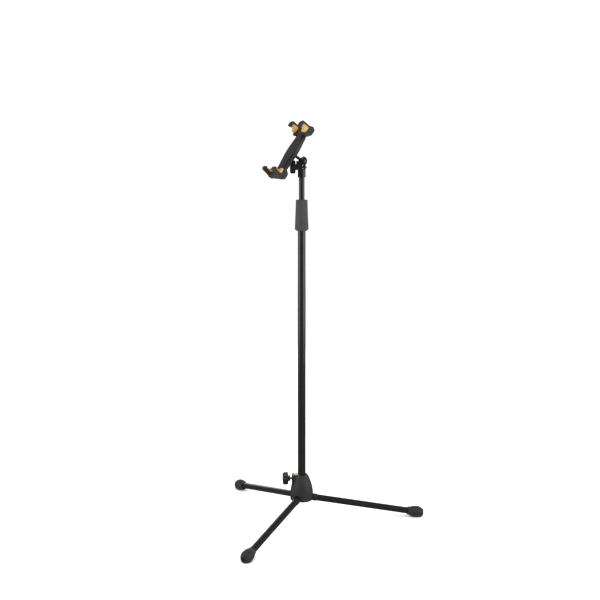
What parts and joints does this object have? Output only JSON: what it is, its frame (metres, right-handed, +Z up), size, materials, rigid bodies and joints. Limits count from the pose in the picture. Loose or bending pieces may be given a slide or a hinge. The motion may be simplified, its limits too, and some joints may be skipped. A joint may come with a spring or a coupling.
{
  "type": "tablet stand",
  "caption": "Free-standing tripod stand with a telescoping pole and a tilting holder whose padded jaws slide apart to grip a tablet.",
  "frame": {"origin": "on the floor, on the axis of the pole", "axes": "+Z up the pole; the holder faces -Y and its jaws are wide along X"},
  "size_m": [0.5869, 0.5869, 1.106],
  "materials": {
    "powder_black": "satin",
    "hub_plastic": "fine moulded texture",
    "foot_rubber": "matte",
    "clutch_plastic": "soft matte",
    "knob_plastic": "satin",
    "holder_plastic": "fine moulded texture",
    "pad_rubber": "soft matte amber",
    "brass_insert": "satin",
    "zinc_steel": "zinc plated",
    "white_nylon": "plain"
  },
  "bodies": {
    "tripod": {"hub_body": "hub_plastic", "hub_guide_bush": "white_nylon", "hub_lock_nut": "brass_insert", "leg_pin_rear": "zinc_steel", "leg_pin_right": "zinc_steel", "leg_pin_left": "zinc_steel"},
    "leg_rear": {"leg_knuckle_rear": "hub_plastic", "leg_tube_rear": "powder_black", "foot_rear": "foot_rubber"},
    "leg_right": {"leg_knuckle_right": "hub_plastic", "leg_tube_right": "powder_black", "foot_right": "foot_rubber"},
    "leg_left": {"leg_knuckle_left": "hub_plastic", "leg_tube_left": "powder_black", "foot_left": "foot_rubber"},
    "lock_shoe": {"hub_clamp_shoe": "brass_insert"},
    "lock_knob": {"hub_lock_screw": "zinc_steel", "hub_lock_knob": "knob_plastic"},
    "pole": {"lower_tube": "powder_black", "pole_end_cap": "hub_plastic", "clutch_body": "clutch_plastic", "clutch_collet": "white_nylon"},
    "clutch": {"clutch_grip": "clutch_plastic"},
    "extension": {"upper_tube": "powder_black", "upper_tube_glide": "white_nylon", "thread_stud": "powder_black"},
    "head": {"head_adapter": "powder_black", "socket_rear_shell": "powder_black", "clamp_nut": "zinc_steel"},
    "head_clamp": {"socket_front_shell": "powder_black"},
    "head_knob": {"clamp_bolt": "zinc_steel", "head_knob": "knob_plastic"},
    "ball": {"ball_stud": "powder_black"},
    "holder": {"stud_flange": "powder_black", "flange_screws": "zinc_steel", "rail_body": "holder_plastic", "leaf_cover": "holder_plastic", "cover_screws": "zinc_steel", "lower_jaw": "holder_plastic", "lower_pad_left": "pad_rubber", "lower_pad_right": "pad_rubber"},
    "jaw": {"upper_jaw": "holder_plastic", "slider_bar": "holder_plastic", "jaw_screws": "zinc_steel", "upper_pad_left": "pad_rubber", "upper_pad_right": "pad_rubber"}
  },
  "joints": [
    {"name": "leg_fold_rear", "type": "hinge", "parent": "tripod", "child": "leg_rear", "pos_m": [0.00595, 0.02222, 0.06774], "axis": [-0.9659, 0.2588, 0], "range_deg": [0, 79.8]},
    {"name": "leg_fold_right", "type": "hinge", "parent": "tripod", "child": "leg_right", "pos_m": [0.01626, -0.01626, 0.06774], "axis": [0.7071, 0.7071, 0], "range_deg": [0, 79.8]},
    {"name": "leg_fold_left", "type": "hinge", "parent": "tripod", "child": "leg_left", "pos_m": [-0.02222, -0.00595, 0.06774], "axis": [0.2588, -0.9659, 0], "range_deg": [0, 79.8]},
    {"name": "lock_shoe_slide", "type": "slide", "parent": "tripod", "child": "lock_shoe", "axis": [-0.2588, -0.9659, 0], "range_m": [0, 0.001]},
    {"name": "lock_knob_turn", "type": "hinge", "parent": "lock_shoe", "child": "lock_knob", "pos_m": [-0.01035, -0.03864, 0.12204], "axis": [-0.2588, -0.9659, 0], "range_deg": [0, 361]},
    {"name": "pole_slide", "type": "slide", "parent": "tripod", "child": "pole", "axis": [0, 0, 1], "range_m": [-0.27, 0]},
    {"name": "clutch_twist", "type": "hinge", "parent": "pole", "child": "clutch", "pos_m": [0, 0, 0.8137], "axis": [0, 0, 1], "range_deg": [0, 90]},
    {"name": "extension_slide", "type": "slide", "parent": "pole", "child": "extension", "axis": [0, 0, 1], "range_m": [-0.055, 0.55]},
    {"name": "head_swivel", "type": "hinge", "parent": "extension", "child": "head", "pos_m": [0, 0, 0.9565], "axis": [0, 0, 1], "range_deg": [-180, 180]},
    {"name": "head_clamp_slide", "type": "slide", "parent": "head", "child": "head_clamp", "axis": [-0.2588, -0.9659, 0], "range_m": [0, 0.0008]},
    {"name": "head_knob_turn", "type": "hinge", "parent": "head_clamp", "child": "head_knob", "pos_m": [-0.00518, -0.01932, 0.9841], "axis": [-0.2588, -0.9659, 0], "range_deg": [0, 361]},
    {"name": "ball_tilt", "type": "hinge", "parent": "head", "child": "ball", "pos_m": [0.00065, 0.00242, 1], "axis": [-1, 0, 0], "range_deg": [-5, 30]},
    {"name": "holder_spin", "type": "hinge", "parent": "ball", "child": "holder", "pos_m": [0.00065, 0.00242, 1], "axis": [0, -0.8387, 0.5446], "range_deg": [-90, 90]},
    {"name": "jaw_slide", "type": "slide", "parent": "holder", "child": "jaw", "axis": [0, 0.5446, 0.8387], "range_m": [0, 0.07]}
  ],
  "couplings": [
    {"joint": "lock_knob_turn", "follows": "lock_shoe_slide", "rad_per_m": 6283.2},
    {"joint": "head_knob_turn", "follows": "head_clamp_slide", "rad_per_m": 7854}
  ]
}
